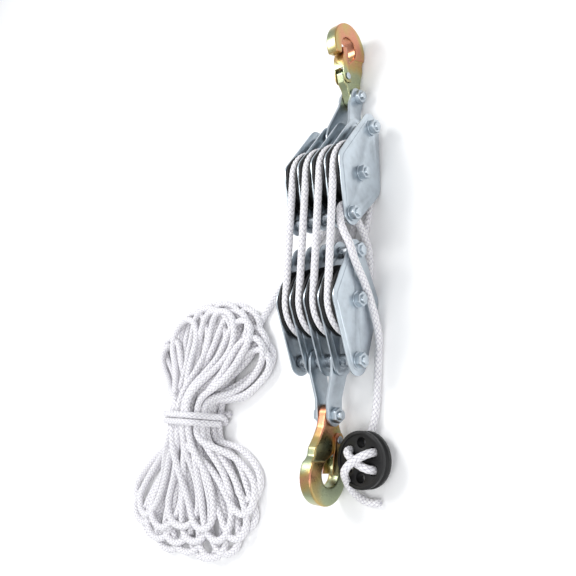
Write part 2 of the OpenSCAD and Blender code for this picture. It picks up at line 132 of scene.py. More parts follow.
# The lamps of the stage: name, place, size in metres, power in watts. Each faces the middle of the floor.
LAMPS = (
    ("key", (-0.9, 0.6, 1.5), 0.8, 17.0),
    ("fill", (1.3, -0.4, 1.1), 1.0, 5.0),
    ("top", (0.1, -1.0, 1.6), 0.8, 7.0),
)
CAMERA_PLACE = Matrix((
    (0.7399, 0.0976, 0.6656, 0.45185),
    (0.0738, 0.9717, -0.2245, -0.2268),
    (-0.6687, 0.2152, 0.7117, 0.5993),
    (0, 0, 0, 1),
))


# ---- Sizes and colours that a user would change ----


class HoistRope(bpy.types.PropertyGroup):
    strands: bpy.props.IntProperty(
        name="Strands each way", description="Strands of the braid that turn each way", default=6, min=4
    )
    lay: bpy.props.FloatProperty(
        name="Lay", description="Length in which a strand turns once round the rope",
        default=0.038, unit="LENGTH", subtype="DISTANCE",
    )
    relief: bpy.props.FloatProperty(
        name="Relief", description="How far a strand stands out of the braid",
        default=0.0009, unit="LENGTH", subtype="DISTANCE",
    )
    colour: bpy.props.StringProperty(name="Rope", description="Colour of the yarn", default="#FBFAFC")
    # Colour of the painted shade in the dips between the strands.
    painted_shade: bpy.props.StringProperty(
        name="Rope shade", description="Colour between the strands", default="#A9A4B8"
    )


class HoistMetal(bpy.types.PropertyGroup):
    edge: bpy.props.FloatProperty(
        name="Edge", description="Radius of a stamped plate's edge", default=0.0005,
        unit="LENGTH", subtype="DISTANCE",
    )
    zinc: bpy.props.StringProperty(name="Zinc", description="Blue-white zinc plating", default="#C4CDD4")
    gold: bpy.props.StringProperty(name="Gold", description="Yellow zinc plating", default="#B8A066")
    moss: bpy.props.StringProperty(name="Moss", description="Greenish part of the plating", default="#A3AB88")
    copper: bpy.props.StringProperty(
        name="Copper", description="Pinkish part of the plating", default="#C98A70"
    )


class HoistStage(bpy.types.PropertyGroup):
    lens: bpy.props.FloatProperty(name="Lens", description="Camera lens in millimetres", default=37.72)
    floor: bpy.props.StringProperty(name="Floor", description="Colour of the floor", default="#FFFFFF")


# ---- Materials ----


def colour(text):
    """An sRGB hex colour as linear red, green, blue and alpha."""
    parts = [int(text[i : i + 2], 16) / 255 for i in (1, 3, 5)]
    return [p / 12.92 if p <= 0.04045 else ((p + 0.055) / 1.055) ** 2.4 for p in parts] + [1.0]


def add(tree, kind, settings=None, **inputs):
    """Adds a node. Settings are its own properties; inputs are values or sockets, named or numbered."""
    made = tree.nodes.new(kind)
    for name, value in (settings or {}).items():
        setattr(made, name, value)
    for name, value in inputs.items():
        key = int(name[1:]) if name[0] == "i" and name[1:].isdigit() else name.replace("_", " ")
        socket = made.inputs[key]
        if isinstance(value, bpy.types.NodeSocket):
            tree.links.new(value, socket)
        else:
            socket.default_value = value
    return made


def new_material(name, **surface):
    """A material with a Principled surface; returns it, its tree and the surface node."""
    made = bpy.data.materials.new(name)
    made.use_nodes = True
    tree = made.node_tree
    shader = tree.nodes["Principled BSDF"]
    for key, value in surface.items():
        shader.inputs[key.replace("_", " ")].default_value = value
    return made, tree, shader


def maths(tree, operation, a, b=0.0):
    return add(tree, "ShaderNodeMath", {"operation": operation}, i0=a, i1=b).outputs[0]


def ramp(tree, value, stops):
    made = add(tree, "ShaderNodeValToRGB", Fac=value)
    made.color_ramp.elements[0].position, made.color_ramp.elements[0].color = stops[0]
    made.color_ramp.elements[1].position, made.color_ramp.elements[1].color = stops[-1]
    for position, tone in stops[1:-1]:
        made.color_ramp.elements.new(position).color = tone
    return made.outputs["Color"]


def zinc_plate_steel():
    """Bright zinc on rolled steel: a cool grey with faint rolling streaks and a soft cloudy gloss."""
    metal = bpy.context.scene.hoist_metal
    made, tree, shader = new_material("bright_zinc_steel", Metallic=1.0)
    place = add(tree, "ShaderNodeTexCoord").outputs["Object"]
    cloud = add(tree, "ShaderNodeTexNoise", Vector=place, Scale=60.0, Detail=4.0, Roughness=0.6)
    # Rolling marks run along the plate, under a millimetre apart.
    long = add(tree, "ShaderNodeMapping", Vector=place)
    long.inputs["Scale"].default_value = (1.0, 0.05, 1.0)
    marks = add(tree, "ShaderNodeTexNoise", Vector=long.outputs[0], Scale=1500.0, Detail=3.0)
    base = colour(metal.zinc)
    dark = [c * 0.82 for c in base[:3]] + [1]
    pale = [min(1, c * 1.08) for c in base[:3]] + [1]
    tone = ramp(tree, cloud.outputs["Fac"], [(0.3, dark), (0.55, base), (0.75, pale)])
    tree.links.new(tone, shader.inputs["Base Color"])
    rough = maths(tree, "MULTIPLY_ADD", cloud.outputs["Fac"], 0.22)
    rough.node.inputs[2].default_value = 0.24
    tree.links.new(rough, shader.inputs["Roughness"])
    bump = add(tree, "ShaderNodeBump", Height=marks.outputs["Fac"], Strength=0.12, Distance=0.0002)
    tree.links.new(bump.outputs[0], shader.inputs["Normal"])
    return made


def galvanised_tube():
    """Hot-dip zinc on cut tube: mottled grains of light and dark grey, 3 mm across."""
    made, tree, shader = new_material("galvanised_tube", Metallic=1.0, Roughness=0.45)
    place = add(tree, "ShaderNodeTexCoord").outputs["Object"]
    grain = add(tree, "ShaderNodeTexVoronoi", Vector=place, Scale=330.0)
    dust = add(tree, "ShaderNodeTexNoise", Vector=place, Scale=500.0, Detail=3.0)
    grain_half = maths(tree, "MULTIPLY", grain.outputs["Color"], 0.5)
    dust_half = maths(tree, "MULTIPLY", dust.outputs["Fac"], 0.5)
    tone = ramp(tree, maths(tree, "ADD", grain_half, dust_half), [
        (0.3, colour("#6F777F")), (0.5, colour("#A5ABB1")), (0.7, colour("#D0D5D8")),
    ])
    tree.links.new(tone, shader.inputs["Base Color"])
    bump = add(tree, "ShaderNodeBump", Height=dust.outputs["Fac"], Strength=0.3, Distance=0.0002)
    tree.links.new(bump.outputs[0], shader.inputs["Normal"])
    return made


def yellow_zinc_steel():
    """Chromated zinc on forged steel: gold that drifts to green and copper with the film's thickness."""
    metal = bpy.context.scene.hoist_metal
    made, tree, shader = new_material("yellow_zinc_steel", Metallic=1.0)
    place = add(tree, "ShaderNodeTexCoord").outputs["Object"]
    film = add(
        tree, "ShaderNodeTexNoise", Vector=place, Scale=17.0, Detail=1.5, Roughness=0.45, Distortion=0.5
    )
    scale = add(tree, "ShaderNodeTexNoise", Vector=place, Scale=420.0, Detail=4.0)
    # The chromate film is thicker in the edges' rounding, where it shows copper.
    rim = add(tree, "ShaderNodeNewGeometry").outputs["Pointiness"]
    edge = maths(tree, "MULTIPLY", maths(tree, "SUBTRACT", rim, 0.5), 2.2)
    drift = maths(tree, "ADD", film.outputs["Fac"], edge)
    tone = ramp(tree, drift, [
        (0.28, colour("#8F9A86")), (0.46, colour(metal.moss)), (0.58, colour(metal.gold)),
        (0.70, colour(metal.copper)), (0.85, colour("#B87850")),
    ])
    tree.links.new(tone, shader.inputs["Base Color"])
    rough = maths(tree, "MULTIPLY_ADD", scale.outputs["Fac"], 0.2)
    rough.node.inputs[2].default_value = 0.2
    tree.links.new(rough, shader.inputs["Roughness"])
    bump = add(tree, "ShaderNodeBump", Height=scale.outputs["Fac"], Strength=0.1, Distance=0.0003)
    tree.links.new(bump.outputs[0], shader.inputs["Normal"])
    return made


def moulded_nylon():
    """Black moulded nylon: near black with a fine spark-eroded grain and a dull gloss."""
    made, tree, shader = new_material("moulded_black_nylon", Roughness=0.46, IOR=1.45)
    place = add(tree, "ShaderNodeTexCoord").outputs["Object"]
    grain = add(tree, "ShaderNodeTexNoise", Vector=place, Scale=1400.0, Detail=2.0)
    wear = add(tree, "ShaderNodeTexNoise", Vector=place, Scale=45.0, Detail=5.0)
    tree.links.new(
        ramp(tree, wear.outputs["Fac"], [(0.35, colour("#030304")), (0.7, colour("#08080A"))]),
        shader.inputs["Base Color"],
    )
    bump = add(tree, "ShaderNodeBump", Height=grain.outputs["Fac"], Strength=0.25, Distance=0.0002)
    tree.links.new(bump.outputs[0], shader.inputs["Normal"])
    return made


def braided_polypropylene():
    """Braided filament yarn: satin white strands that cross over and under, with painted shade where they
    dip.
    """
    rope = bpy.context.scene.hoist_rope
    made, tree, shader = new_material("braided_polypropylene", Roughness=0.55, IOR=1.49)
    shader.inputs["Sheen Weight"].default_value = 0.35
    shader.inputs["Sheen Roughness"].default_value = 0.4
    shader.inputs["Subsurface Weight"].default_value = 0.12
    shader.inputs["Subsurface Radius"].default_value = (0.002, 0.002, 0.0022)
    uv = add(tree, "ShaderNodeUVMap", {"uv_map": "along"}).outputs[0]
    around_along = add(tree, "ShaderNodeSeparateXYZ", Vector=uv)
    turn = maths(tree, "MULTIPLY", around_along.outputs["X"], float(rope.strands))
    run = around_along.outputs["Y"]
    right, left = maths(tree, "ADD", turn, run), maths(tree, "SUBTRACT", turn, run)
    cell = maths(tree, "ADD", maths(tree, "FLOOR", right), maths(tree, "FLOOR", left))
    over = maths(tree, "PINGPONG", cell, 1.0)
    crown_right = maths(tree, "PINGPONG", maths(tree, "MULTIPLY", right, 2.0), 1.0)
    crown_left = maths(tree, "PINGPONG", maths(tree, "MULTIPLY", left, 2.0), 1.0)
    mixed = {"data_type": "FLOAT"}
    crown = add(tree, "ShaderNodeMix", mixed, i0=over, i2=crown_left, i3=crown_right).outputs[0]
    # Filaments in a strand, drawn four to a strand so that they show.
    thread_right = maths(tree, "PINGPONG", maths(tree, "MULTIPLY", right, 8.0), 1.0)
    thread_left = maths(tree, "PINGPONG", maths(tree, "MULTIPLY", left, 8.0), 1.0)
    thread = add(tree, "ShaderNodeMix", mixed, i0=over, i2=thread_left, i3=thread_right).outputs[0]
    height = maths(tree, "ADD", maths(tree, "POWER", crown, 0.6), maths(tree, "MULTIPLY", thread, 0.14))
    # The colour follows the strands' height: painted shade in the dips between strands, paling to the yarn's
    # white on the crowns.
    tone = ramp(tree, height, [
        (0.15, colour(rope.painted_shade)), (0.36, colour("#E2DFE9")), (0.58, colour("#F7F5F9")),
        (0.95, colour(rope.colour)),
    ])
    tree.links.new(tone, shader.inputs["Base Color"])
    bump = add(tree, "ShaderNodeBump", Height=height, Strength=1.0, Distance=0.0011)
    tree.links.new(bump.outputs[0], shader.inputs["Normal"])
    return made


def finish_of(name):
    """The material of that name, made on first use."""
    makers = {
        "bright_zinc_steel": zinc_plate_steel, "galvanised_tube": galvanised_tube,
        "yellow_zinc_steel": yellow_zinc_steel, "moulded_black_nylon": moulded_nylon,
        "braided_polypropylene": braided_polypropylene,
    }
    return bpy.data.materials.get(name) or makers[name]()


def dress(piece, finish):
    piece.data.materials.clear()
    piece.data.materials.append(finish_of(finish))
    return piece


# ---- Shapes ----


def only(piece):
    """Selects one object and nothing else."""
    bpy.ops.object.select_all(action="DESELECT")
    piece.select_set(True)
    bpy.context.view_layer.objects.active = piece


def apply_modifier(piece, kind, **settings):
    only(piece)
    modifier = piece.modifiers.new(kind.lower(), kind)
    for name, value in settings.items():
        setattr(modifier, name, value)
    bpy.ops.object.modifier_apply(modifier=modifier.name)


def merged_copy(name, *nodes):
    """A closed copy of CAD nodes as one new piece at the origin."""
    copies = []
    for n in nodes:
        source = frame["nodes"][n]
        copy = bpy.data.objects.new(name, source.data.copy())
        bpy.context.scene.collection.objects.link(copy)
        copies.append(copy)
    bpy.ops.object.select_all(action="DESELECT")
    for copy in copies:
        copy.select_set(True)
    bpy.context.view_layer.objects.active = copies[0]
    if len(copies) > 1:
        bpy.ops.object.join()
    piece = bpy.context.view_layer.objects.active
    piece.name = piece.data.name = name
    bpy.ops.object.mode_set(mode="EDIT")
    bpy.ops.mesh.select_all(action="SELECT")
    bpy.ops.mesh.remove_doubles(threshold=0.00001)
    bpy.ops.mesh.dissolve_limited(angle_limit=math.radians(1))
    bpy.ops.mesh.customdata_custom_splitnormals_clear()
    bpy.ops.object.mode_set(mode="OBJECT")
    return piece


def eased_copy(name, finish, body, width, *nodes, segments=2, angle=35):
    """A copy of CAD nodes with its edges eased, standing for them."""
    piece = merged_copy(name, *nodes)
    apply_modifier(
        piece, "BEVEL", width=width, segments=segments, limit_method="ANGLE",
        angle_limit=math.radians(angle), use_clamp_overlap=True, harden_normals=False,
    )
    only(piece)
    bpy.ops.object.shade_smooth_by_angle(angle=math.radians(32))
    dress(piece, finish)
    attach(piece, body)
    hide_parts(*nodes)
    return piece


def latch_coil(block):
    """The wire coil under a latch's web."""
    node = f"{block}_latch_spring"
    low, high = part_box(node)
    middle, reach = (Vector(low) + Vector(high)) / 2, (high[0] - low[0]) / 2
    radius, wire, turns, steps = 0.0024, 0.0011, 6, 24
    curve = bpy.data.curves.new(f"{block}_latch_coil", "CURVE")
    curve.dimensions = "3D"
    curve.bevel_depth = wire / 2
    curve.bevel_resolution = 2
    curve.use_fill_caps = True
    line = curve.splines.new("POLY")
    line.points.add(turns * steps)
    for i, point in enumerate(line.points):
        a = 2 * math.pi * i / steps
        x = middle.x + (reach - wire / 2) * (2 * i / (turns * steps) - 1)
        point.co = (x, middle.y + radius * math.cos(a), middle.z + radius * math.sin(a), 1)
    coil = bpy.data.objects.new(f"{block}_latch_coil", curve)
    bpy.context.scene.collection.objects.link(coil)
    only(coil)
    bpy.ops.object.convert(target="MESH")
    bpy.ops.object.shade_smooth()
    coil = bpy.context.object
    dress(coil, "bright_zinc_steel")
    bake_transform(coil)
    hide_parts(node)


def spline(points, step):
    """Points at even steps along a smooth curve through the given ones."""
    p = np.asarray(points, float)
    ends = np.vstack([2 * p[0] - p[1], p, 2 * p[-1] - p[-2]])
    made = []
    for i in range(len(p) - 1):
        a, b, c, d = ends[i : i + 4]
        t = np.linspace(0, 1, 24, endpoint=False)[:, None]
        made.append(
            0.5 * (2 * b + (c - a) * t + (2 * a - 5 * b + 4 * c - d) * t**2 + (3 * b - a - 3 * c + d) * t**3)
        )
    return even(np.vstack(made + [p[-1:]]), step)


def even(points, step):
    """The same line, with points at even steps."""
    lengths = np.linalg.norm(np.diff(points, axis=0), axis=1)
    along = np.concatenate([[0], np.cumsum(lengths)])
    count = max(2, int(round(along[-1] / step)) + 1)
    at = np.linspace(0, along[-1], count)
    return np.stack([np.interp(at, along, points[:, k]) for k in range(3)], axis=1)


def rope_piece(name, points, sides=12, braided=False, taper=0.0):
    """A rope along points in metres, with a UV map round it and along it. Braided ones have real relief."""
    rope = bpy.context.scene.hoist_rope
    count = len(points)
    ahead = np.gradient(points, axis=0)
    ahead /= np.linalg.norm(ahead, axis=1)[:, None]
    side = np.zeros_like(points)
    start = np.cross(ahead[0], [0.0, 0.0, 1.0] if abs(ahead[0][2]) < 0.9 else [1.0, 0.0, 0.0])
    side[0] = start / np.linalg.norm(start)
    for i in range(1, count):
        s = side[i - 1] - ahead[i] * np.dot(side[i - 1], ahead[i])
        side[i] = s / np.linalg.norm(s)
    up = np.cross(side, ahead)
    lengths = np.concatenate([[0], np.cumsum(np.linalg.norm(np.diff(points, axis=0), axis=1))])
    turn = np.arange(sides) / sides
    run = lengths * rope.strands / rope.lay
    radius = np.full((count, sides), ROPE_R)
    if braided:
        right = turn[None, :] * rope.strands + run[:, None]
        left = turn[None, :] * rope.strands - run[:, None]
        over = (np.floor(right) + np.floor(left)) % 2
        crown = np.where(over > 0.5, right, left) % 1.0
        radius -= rope.relief * (1 - np.sin(np.pi * crown) ** 0.7)
    if taper:
        reach = lengths[-1] - lengths
        shrink = np.sqrt(np.clip(1 - (1 - np.clip(reach / taper, 0, 1)) ** 2, 0.04, 1))
        radius *= shrink[:, None]
    angle = 2 * np.pi * turn
    ring = np.cos(angle)[None, :, None] * side[:, None, :] + np.sin(angle)[None, :, None] * up[:, None, :]
    places = (points[:, None, :] + radius[:, :, None] * ring).reshape(-1, 3)
    i, k = np.meshgrid(np.arange(count - 1), np.arange(sides), indexing="ij")
    j = (k + 1) % sides
    quads = np.stack(
        [i * sides + k, i * sides + j, (i + 1) * sides + j, (i + 1) * sides + k], axis=-1
    ).reshape(-1, 4)
    mesh = bpy.data.meshes.new(name)
    caps = [list(range(sides))[::-1], [(count - 1) * sides + k for k in range(sides)]]
    mesh.from_pydata(places.tolist(), [], quads.tolist() + caps)
    u = np.stack([k, k + 1, k + 1, k], axis=-1).reshape(-1, 4) / sides
    v = np.stack([run[i], run[i], run[i + 1], run[i + 1]], axis=-1).reshape(-1, 4)
    flat = np.concatenate([np.stack([u.ravel(), v.ravel()], axis=1).ravel(), np.zeros(4 * sides)])
    mesh.uv_layers.new(name="along").data.foreach_set("uv", flat)
    mesh.update()
    piece = bpy.data.objects.new(name, mesh)
    bpy.context.scene.collection.objects.link(piece)
    only(piece)
    bpy.ops.object.shade_smooth()
    return dress(piece, "braided_polypropylene")


# ---- The rope's lines ----


def half_turn(x, y, side, down):
    """A half turn of rope round a sheave. Side is +1 for the upper block; down runs it from top to bottom."""
    a = np.radians(np.linspace(90, -90, 40) if down else np.linspace(-90, 90, 40))
    return np.stack([np.full(40, x), y + side * WRAP_R * np.cos(a), AXLE_Z + WRAP_R * np.sin(a)], axis=1)


def crossing(x_from, x_to):
    """A back run that changes bays: straight by each rim, and slanted between them."""
    y = np.linspace(LOWER_Y + 0.002, UPPER_Y - 0.002, 60)
    share = np.clip((y - LOWER_Y - RIM_REACH) / (UPPER_Y - LOWER_Y - 2 * RIM_REACH), 0, 1)
    return np.stack([x_from + (x_to - x_from) * smooth(share, 3), y, np.full(60, AXLE_Z - WRAP_R)], axis=1)


def reeved_line():
    """From the haul line's sheave to the last sheave of the lower block, through all eight sheaves."""
    parts = []
    for i in range(4):
        parts.append(half_turn(UPPER_X[i], UPPER_Y, 1, False))
        parts.append(half_turn(LOWER_X[i], LOWER_Y, -1, True))
        if i < 3:
            parts.append(crossing(LOWER_X[i], UPPER_X[i + 1]))
    return even(np.vstack(parts), BRAID_STEP)


def dead_end_line():
    """Back from the lower block, over the upper block's tail bolt, and down beside the lower right plate."""
    low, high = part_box("upper_tail_spacers")
    lead_y, lead_z = (low.y + high.y) / 2, (low.z + high.z) / 2
    lead_r = (high.z - low.z) / 2 + ROPE_R + 0.0006
    x, y = LOWER_X[3], LOWER_Y

    def lead(dx, degrees):
        a = math.radians(degrees)
        return (x + dx * MM, lead_y + lead_r * math.cos(a), lead_z + lead_r * math.sin(a))

    rows = [
        (x, y + 0.0002, AXLE_Z - WRAP_R), (x, y + 0.035, 0.005), (x, lead_y - 0.042, 0.006),
        (x - 0.0005, lead_y - 0.026, 0.011), (x - 0.001, lead_y - 0.008, 0.026),
        (x - 0.0015, lead_y + 0.006, 0.041),
        lead(-1.5, -30), lead(-1.5, 5), lead(-1, 40), lead(-0.5, 75), lead(0.5, 100),
        (x + 0.004, lead_y - 0.015, 0.0735), (x + 0.0115, y + 0.073, 0.075), (x + 0.0175, y + 0.059, 0.071),
        (x + 0.0185, y + 0.041, 0.060), (x + 0.0186, y + 0.022, 0.042), (x + 0.0186, y + 0.002, 0.027),
        (x + 0.0186, y - 0.019, 0.0145), (x + 0.0184, y - 0.036, 0.007), (x + 0.0182, y - 0.0502, 0.005),
    ]
    return spline(rows, BRAID_STEP)


def knot_line():
    """Along the floor, up through the disc, across its face, down, up again, and off its edge to the end."""
    disc = [
        (31, -250, 32), (42, -258, 33), (52, -263, 32), (59, -265.3, 29.5),
        (61.5, -265.5, 24), (61.5, -265.5, 14),
        (62, -262, 6.5), (62.5, -256, 4.9), (62, -250, 6.5), (61.5, -246.5, 14), (61.5, -246.5, 24),
        (58, -249, 32.5), (50, -254, 37), (41, -262, 41), (33, -270, 38), (28, -278, 28), (26, -286, 18),
        (28, -294, 9), (36, -300, 5), (50, -302, 5), (63, -300, 5),
    ]
    line = spline([(x * MM, y * MM, z * MM) for x, y, z in STOPPER + disc], KNOT_STEP)
    # The first points stay as they are, so that the rope goes on straight from the dead end.
    straight = 20
    for axis in (0, 1, 2):
        line[straight:, axis] = smooth(line[:, axis], 4)[straight:]
    return even(line, KNOT_STEP)


# ---- The hank ----

# Where each loop of the hank reaches to at either end: x, y in millimetres from its tie, and half its width.
UPPER_LOOPS = [
    (60, 168, 40), (-112, 116, 21), (124, 104, 24), (-30, 172, 44), (88, 156, 34), (10, 174, 48),
    (-114, 106, 20), (112, 126, 26), (38, 170, 40), (-54, 162, 36), (128, 92, 22), (-104, 120, 21),
    (-8, 166, 42), (72, 154, 32), (118, 110, 22), (24, 160, 36), (-62, 150, 28), (94, 138, 26), (48, 156, 32),
    (-100, 110, 20),
]
LOWER_LOOPS = [
    (-146, -130, 26), (114, -132, 24), (-106, -174, 30), (30, -186, 32), (-60, -188, 32), (82, -170, 28),
    (-132, -154, 26), (-10, -184, 34), (122, -92, 22), (56, -180, 30), (-86, -172, 32), (104, -146, 24),
    (-34, -174, 30), (-118, -142, 26), (14, -166, 30), (72, -154, 28), (-70, -156, 28), (118, -112, 22),
    (-12, -150, 28), (40, -146, 26),
]
# Ropes in each layer of the waist, from the floor up, and the distance between two of them.
WAIST_LAYERS = (9, 8, 8, 8, 7)
WAIST_PITCH = 9.3
# The pile's height under the tie, as a share of its loose height.
PRESSED = 0.92
# Half the width that a turn of the tie spans, in millimetres.
TIE_HALF = 46
# How full a rope's round back counts where another lies on it. Less than 1 lets them nest.
NESTED = 0.88


def waist_places():
    """Where each pass runs through the waist, so that the passes of a layer cross as little as they can."""
    count = len(UPPER_LOOPS)
    wants = []
    for i in range(count):
        wants.append(LOWER_LOOPS[i][0] + UPPER_LOOPS[i - 1][0])
        wants.append(LOWER_LOOPS[i][0] + UPPER_LOOPS[i][0])
    places, start = [0.0] * len(wants), 0
    for many in WAIST_LAYERS:
        ranked = sorted(range(start, start + many), key=lambda k: wants[k])
        for rank, k in enumerate(ranked):
            places[k] = (rank - (many - 1) / 2) * WAIST_PITCH
        start += many
    return places


def hank_plan():
    """The hank's flat path: through the waist, round a loop, back through the waist, round the next."""
    chance = np.random.default_rng(7)
    places = waist_places() + [0.0]
    rows = []
    for i in range(len(UPPER_LOOPS)):
        for (x, y, half), a, b in (
            (LOWER_LOOPS[i], places[2 * i], places[2 * i + 1]),
            (UPPER_LOOPS[i], places[2 * i + 1], places[2 * i + 2]),
        ):
            way = 1 if y > 0 else -1
            out = np.array([x, y], float)
            reach = np.linalg.norm(out)
            ahead = out / reach
            across = np.array([-ahead[1], ahead[0]]) * half * way * (1 if a < b else -1)
            wobble = chance.normal(0, 2.5, (6, 2))
            rows += [(a, way * 6), (a * 0.97 + ahead[0] * 5, way * 27)]
            rows += [tuple(ahead * reach * 0.47 + across * 0.55 + wobble[0] + [a * 0.4, 0])]
            rows += [tuple(ahead * (reach - half * 1.3) + across * 1.02 + wobble[1])]
            rows += [tuple(ahead * (reach - half * 0.3) + across * 0.72 + wobble[2] * 0.2)]
            rows += [tuple(ahead * reach)]
            rows += [tuple(ahead * (reach - half * 0.3) - across * 0.72 + wobble[3] * 0.2)]
            rows += [tuple(ahead * (reach - half * 1.3) - across * 1.02 + wobble[4])]
            rows += [tuple(ahead * reach * 0.47 - across * 0.55 + wobble[5] + [b * 0.4, 0])]
            rows += [(b * 0.97 + ahead[0] * 5, way * 27), (b, way * 6)]
    # The last loop is left open, so that the rope's end lies in it.
    return rows[:-4]


class Pile:
    """A height map that lengths of rope are laid on in turn, so that each rests on what is below."""

    def __init__(self, low, high, cell=0.0018):
        self.low, self.cell = np.array(low), cell
        self.size = np.ceil((np.array(high) - self.low) / cell).astype(int) + 1
        self.top = np.zeros(self.size)
        reach = int(ROPE_R / cell)
        dx, dy = np.meshgrid(np.arange(-reach, reach + 1), np.arange(-reach, reach + 1), indexing="ij")
        far = np.hypot(dx, dy) * cell
        keep = far < ROPE_R * 0.93
        self.dx, self.dy, self.arch = dx[keep], dy[keep], np.sqrt(ROPE_R**2 - far[keep] ** 2)

    def cells(self, flat):
        at = ((flat - self.low) / self.cell).round().astype(int)
        i = np.clip(at[:, :1] + self.dx[None, :], 0, self.size[0] - 1)
        j = np.clip(at[:, 1:] + self.dy[None, :], 0, self.size[1] - 1)
        return i, j

    def floor_under(self, flat):
        i, j = self.cells(flat)
        return np.maximum((self.top[i, j] + self.arch[None, :] * NESTED).max(axis=1), ROPE_R)

    def lay(self, flat, z):
        i, j = self.cells(flat)
        np.maximum.at(self.top, (i, j), z[:, None] + self.arch[None, :] * NESTED)


def smooth(values, reach, rounds=2):
    """The same line with its corners rounded: each point becomes the mean of those within reach of it."""
    width = 2 * reach + 1
    for _ in range(rounds):
        wide = np.concatenate([[values[0]] * reach, values, [values[-1]] * reach])
        values = np.convolve(wide, np.ones(width) / width, mode="valid")
    return values


def pressed(z):
    """The height of a rope's middle once the tie is drawn tight."""
    return ROPE_R + (np.maximum(z, ROPE_R) - ROPE_R) * PRESSED


def hank_line():
    """The haul line and the hank in one line, each length of it lying on those before."""
    plan = [(x, y) for x, y, _ in HAUL] + HAUL_TO_TIE
    plan += [(HANK_X + x, HANK_Y + y) for x, y in hank_plan()]
    flat = spline([(x * MM, y * MM, 0) for x, y in plan], HANK_STEP)[:, :2]
    # The haul line keeps to its own route by the block, and its corners are rounded from there on.
    ease = np.clip((np.arange(len(flat)) - 50) / 30, 0, 1)
    for axis in (0, 1):
        flat[:, axis] += (smooth(flat[:, axis], 3) - flat[:, axis]) * ease
    pile = Pile((-0.45, -0.45), (0.0, 0.1))
    tie = spline([((HANK_X + x) * MM, HANK_Y * MM, 0) for x in (-60, -30, 0, 30, 60)], 0.003)[:, :2]
    for shift in (-0.0048, 0.0048):
        pile.lay(tie + [0, shift], np.full(len(tie), ROPE_R))
    # The rope is laid in short lengths. Each joins the pile one length late, and so never climbs on itself.
    heights, chunk, tail = np.zeros(len(flat)), 36, 8
    for start in range(0, len(flat), chunk):
        stop = min(start + chunk + tail, len(flat))
        floor = pile.floor_under(flat[start:stop])
        heights[start:stop] = np.maximum(smooth(np.maximum(floor, smooth(floor, 6)), 3), floor * 0.9)
        last = slice(max(start - chunk, 0), start)
        pile.lay(flat[last], heights[last])
    z = pressed(smooth(smooth(heights, 5), 3))
    z = ROPE_R + (z - ROPE_R) * ease
    return even(np.column_stack([flat, z]), HANK_STEP), pile


def tie_line(pile):
    """Two turns round the waist of the hank, with the last end out at the right."""
    rows, edge = [], TIE_HALF
    for turn, shift in ((0, -4.8), (1, 4.8)):
        across = np.linspace(edge, -edge, 15)
        flat = np.column_stack([(HANK_X + across) * MM, np.full(15, (HANK_Y + shift) * MM)])
        top = pressed(smooth(pile.floor_under(flat), 1)) + 0.001
        top = np.maximum(top, top.max() * (1 - 0.55 * np.abs(np.linspace(-1, 1, 15)) ** 4))
        rows += [((HANK_X + edge + 5) * MM, flat[0, 1], 0.55 * top[0] + 0.004)]
        rows += [tuple(r) for r in np.column_stack([flat[::2], top[::2]])]
        rows += [((HANK_X - edge - 5) * MM, flat[0, 1], 0.55 * top[-1] + 0.004)]
        rows += [((HANK_X - edge + 2) * MM, (HANK_Y + shift + 1) * MM, ROPE_R + 0.0005)]
        for x in (-20, 0, 20):
            rows += [((HANK_X + x) * MM, (HANK_Y + shift + 2 + turn * x * 0.05) * MM, ROPE_R)]
        rows += [((HANK_X + edge - 2) * MM, (HANK_Y + shift + 3 + turn * 2) * MM, ROPE_R + 0.0005)]
    return rows[:-1] + [((HANK_X + edge + 8) * MM, (HANK_Y + 10) * MM, ROPE_R)]


# ---- Operators ----


class HOIST_OT_stage(bpy.types.Operator):
    """Adds the floor, the soft lights and the camera"""

    bl_idname = "hoist.stage"
    bl_label = "Stage"

    def execute(self, context):
        stage = context.scene.hoist_stage
        bpy.ops.mesh.primitive_plane_add(size=9, location=(0, 0, -0.0006))
        floor = context.object
        floor.name = "floor"
        made, tree, shader = new_material("matt_backdrop_paper", Roughness=0.9)
        place = add(tree, "ShaderNodeTexCoord").outputs["Object"]
        tooth = add(tree, "ShaderNodeTexNoise", Vector=place, Scale=900.0, Detail=2.0)
        shader.inputs["Base Color"].default_value = colour(stage.floor)
        bump = add(tree, "ShaderNodeBump", Height=tooth.outputs["Fac"], Strength=0.05, Distance=0.0001)
        tree.links.new(bump.outputs[0], shader.inputs["Normal"])
        floor.data.materials.append(made)

        world = bpy.data.worlds.new("studio")
        world.use_nodes = True
        sky = world.node_tree.nodes["Background"]
        sky.inputs["Color"].default_value = colour("#F7F9FC")
        sky.inputs["Strength"].default_value = 0.72
        context.scene.world = world
        for name, place, size, power in LAMPS:
            bpy.ops.object.light_add(type="AREA", location=place)
            lamp = context.object
            lamp.name = name
            lamp.data.size = size
            lamp.data.energy = power
            lamp.rotation_euler = (-Vector(place)).to_track_quat("-Z", "Y").to_euler()

        bpy.ops.object.camera_add()
        camera = context.object
        camera.matrix_world = CAMERA_PLACE
        camera.data.lens = stage.lens
        camera.data.sensor_width = 36
        camera.data.clip_start = 0.01
        context.scene.camera = camera
        context.scene.view_settings.view_transform = "Standard"
        return {"FINISHED"}


class HOIST_OT_reeving(bpy.types.Operator):
    """Reeves the braided rope through the eight sheaves and leads its dead end back"""

    bl_idname = "hoist.reeving"
    bl_label = "Reeved rope"

    def execute(self, context):
        rope = rope_piece("reeved_rope", reeved_line(), sides=24, braided=True)
        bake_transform(rope)
        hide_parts("upper_rope_wraps", "lower_rope_wraps", "front_falls", "back_falls")
        lead = rope_piece("dead_end_rope", dead_end_line(), sides=24, braided=True)
        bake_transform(lead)
        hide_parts("dead_end_fall")
        return {"FINISHED"}


